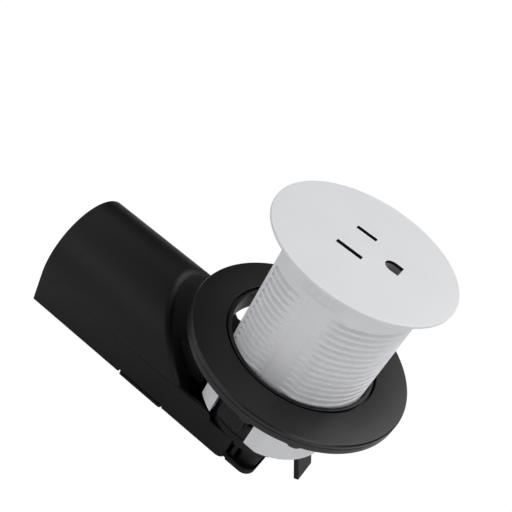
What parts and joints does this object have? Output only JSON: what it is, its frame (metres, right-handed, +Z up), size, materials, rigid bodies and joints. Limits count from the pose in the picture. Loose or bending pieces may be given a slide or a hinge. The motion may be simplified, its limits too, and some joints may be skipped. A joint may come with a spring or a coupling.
{
  "type": "desk grommet power outlet",
  "caption": "Power outlet that drops through a round desk hole: white face plate and threaded barrel, black clamp ring, and a side housing for the supply plug.",
  "frame": {"origin": "the middle of the face plate's flat top, on the barrel axis; the desk top is 0.9 mm below it", "axes": "+Z up along the barrel axis out of the desk, -X towards the housing that takes the supply plug, the ground opening on the +X side"},
  "size_m": [0.1196, 0.0732, 0.0828],
  "materials": {
    "white_shell": "satin moulded white plastic",
    "black_shell": "satin moulded black plastic",
    "ring_black": "satin moulded charcoal plastic",
    "core_black": "fine matt moulded black plastic",
    "shutter_grey": "matt dark grey plastic",
    "contact_brass": "stamped brass strip",
    "pin_nickel": "nickel plated pin",
    "screw_steel": "zinc plated steel",
    "wire_black": "black insulation",
    "wire_white": "white insulation",
    "wire_green": "green insulation"
  },
  "bodies": {
    "outlet": {"face_plate": "white_shell", "threaded_barrel": "white_shell", "receptacle_core": "core_black", "core_cover": "core_black", "core_screw_left": "screw_steel", "core_screw_right": "screw_steel", "hot_contact": "contact_brass", "neutral_contact": "contact_brass", "ground_contact": "contact_brass", "shutter_spring": "screw_steel", "barrel_chassis": "black_shell", "cable_duct": "black_shell", "base_lid": "black_shell", "base_tray": "black_shell", "cover_sleeve": "black_shell", "lever_pin": "screw_steel", "inlet_body": "core_black", "inlet_pin_hot": "pin_nickel", "inlet_pin_neutral": "pin_nickel", "inlet_pin_ground": "pin_nickel", "inlet_screw_left": "screw_steel", "inlet_screw_right": "screw_steel", "hot_wire": "wire_black", "neutral_wire": "wire_white", "ground_wire": "wire_green", "base_screw_1": "screw_steel", "base_screw_2": "screw_steel", "base_screw_3": "screw_steel", "base_screw_4": "screw_steel"},
    "shutter": {"tamper_shutter": "shutter_grey"},
    "washer": {"pressure_plate": "ring_black"},
    "nut": {"clamp_nut": "ring_black"},
    "latch": {"cover_latch": "black_shell"},
    "lever": {"release_lever": "black_shell"}
  },
  "joints": [
    {"name": "ring_travel", "type": "slide", "parent": "outlet", "child": "washer", "axis": [0, 0, 1], "range_m": [-0.0085, 0.0295]},
    {"name": "nut_turn", "type": "hinge", "parent": "washer", "child": "nut", "pos_m": [0, 0, -0.0439], "axis": [0, 0, 1], "range_deg": [-685, 2365]},
    {"name": "shutter_slide", "type": "slide", "parent": "outlet", "child": "shutter", "axis": [0, 1, 0], "range_m": [0, 0.0026], "stiffness_N_per_m": 120, "springref_m": -0.001, "deforming": ["shutter_spring"]},
    {"name": "lever_pivot", "type": "hinge", "parent": "outlet", "child": "lever", "pos_m": [0.0152, 0, -0.0723], "axis": [0, -1, 0], "range_deg": [0, 13]},
    {"name": "latch_press", "type": "slide", "parent": "outlet", "child": "latch", "axis": [0, 0, -1], "range_m": [0, 0.0015]}
  ],
  "couplings": [
    {"joint": "nut_turn", "follows": "ring_travel", "rad_per_m": 1396.3}
  ]
}
